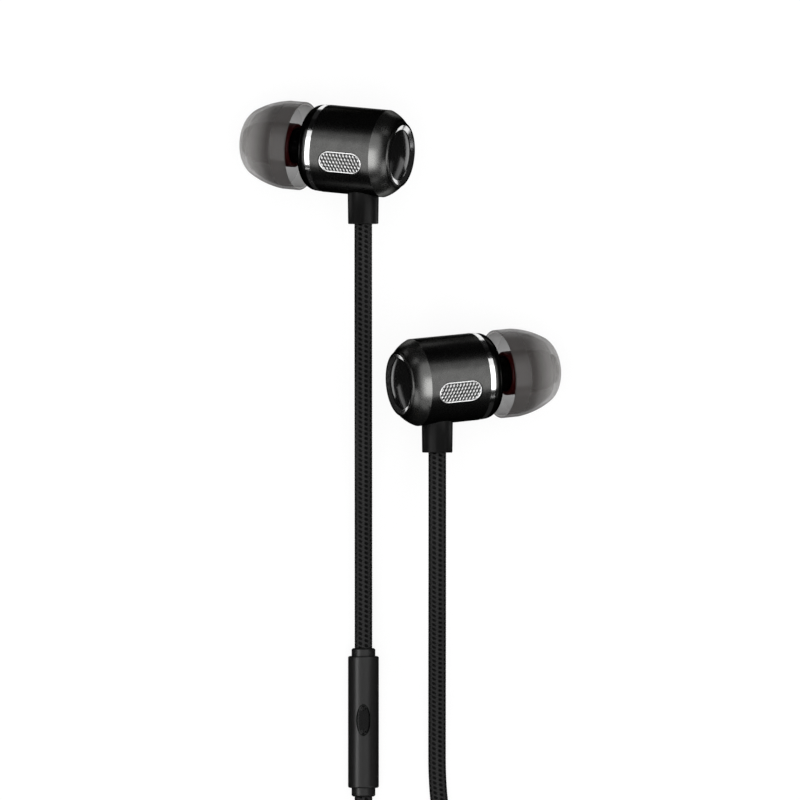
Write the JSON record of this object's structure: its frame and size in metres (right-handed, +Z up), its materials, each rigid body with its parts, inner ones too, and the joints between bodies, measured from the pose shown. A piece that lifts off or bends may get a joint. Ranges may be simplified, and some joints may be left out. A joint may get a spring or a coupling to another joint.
{
  "type": "wired earphones",
  "caption": "Wired in-ear earphones with an inline remote, lying flat, their cord put away in a neat round coil beside the plug.",
  "frame": {"origin": "on the surface that the earphones lie on, under the middle of the box round the two ear pieces", "axes": "+Z up from the surface, +Y away from the coil and the plug along the cords, +X towards the right ear piece"},
  "size_m": [0.0526, 0.1719, 0.018],
  "materials": {
    "barrel_metal": "black anodised, satin",
    "board": "circuit board",
    "bright_trim": "polished",
    "button_plastic": "satin",
    "cap_metal": "black anodised, satin",
    "contact_gold": "gold plated",
    "copper_wire": "enamelled winding",
    "cord_braid": "braided sleeve",
    "dome_gloss": "high gloss",
    "film": "thin film",
    "inner_plastic": "moulded",
    "insulator_plastic": "moulded",
    "magnet": "sintered, plated",
    "plug_metal": "black anodised, satin",
    "relief_rubber": "smooth satin",
    "remote_plastic": "satin",
    "screen_mesh": "fine perforated screen",
    "splitter_rubber": "moulded, satin",
    "steel": "plated",
    "tip_core": "dark translucent silicone",
    "tip_silicone": "translucent silicone",
    "vent_mesh": "bright woven mesh"
  },
  "bodies": {
    "earphones": {"barrel_shell_left": "barrel_metal", "barrel_shell_right": "barrel_metal", "diaphragm_left": "film", "diaphragm_right": "film", "driver_frame_left": "inner_plastic", "driver_frame_right": "inner_plastic", "driver_magnet_left": "magnet", "driver_magnet_right": "magnet", "driver_top_plate_left": "steel", "driver_top_plate_right": "steel", "driver_yoke_left": "steel", "driver_yoke_right": "steel", "front_cap_left": "cap_metal", "front_cap_right": "cap_metal", "left_cord_coil": "cord_braid", "left_cord_lower": "cord_braid", "left_cord_tail": "cord_braid", "left_cord_upper": "cord_braid", "microphone_capsule": "steel", "nozzle_mesh_left": "screen_mesh", "nozzle_mesh_right": "screen_mesh", "plug_barrel": "plug_metal", "plug_insulators": "insulator_plastic", "plug_relief": "relief_rubber", "plug_ring_contacts": "contact_gold", "plug_sleeve_contact": "contact_gold", "plug_tip_contact": "contact_gold", "rear_dome_left": "dome_gloss", "rear_dome_right": "dome_gloss", "rear_ring_left": "bright_trim", "rear_ring_right": "bright_trim", "remote_board": "board", "remote_collar_lower": "remote_plastic", "remote_collar_upper": "remote_plastic", "remote_shell": "remote_plastic", "remote_switch": "inner_plastic", "right_cord": "cord_braid", "right_cord_coil": "cord_braid", "right_cord_tail": "cord_braid", "splitter": "splitter_rubber", "strain_relief_left": "relief_rubber", "strain_relief_right": "relief_rubber", "terminal_board_left": "board", "terminal_board_right": "board", "trim_ring_left": "bright_trim", "trim_ring_right": "bright_trim", "trunk_cord_coil": "cord_braid", "trunk_cord_lead": "cord_braid", "trunk_cord_tail": "cord_braid", "vent_insert_left": "vent_mesh", "vent_insert_right": "vent_mesh", "voice_coil_left": "copper_wire", "voice_coil_right": "copper_wire"},
    "left_ear_tip": {"ear_tip_flange_left": "tip_silicone", "ear_tip_core_left": "tip_core"},
    "right_ear_tip": {"ear_tip_flange_right": "tip_silicone", "ear_tip_core_right": "tip_core"},
    "button": {"remote_button": "button_plastic"}
  },
  "joints": [
    {"name": "button_press", "type": "slide", "parent": "earphones", "child": "button", "axis": [0, 0, -1], "range_m": [0, 0.0003], "stiffness_N_per_m": 800},
    {"name": "left_tip_pull", "type": "slide", "parent": "earphones", "child": "left_ear_tip", "axis": [-0.909, 0.0915, -0.4067], "range_m": [0, 0.004]},
    {"name": "right_tip_pull", "type": "slide", "parent": "earphones", "child": "right_ear_tip", "axis": [0.909, 0.0915, -0.4067], "range_m": [0, 0.004]}
  ]
}
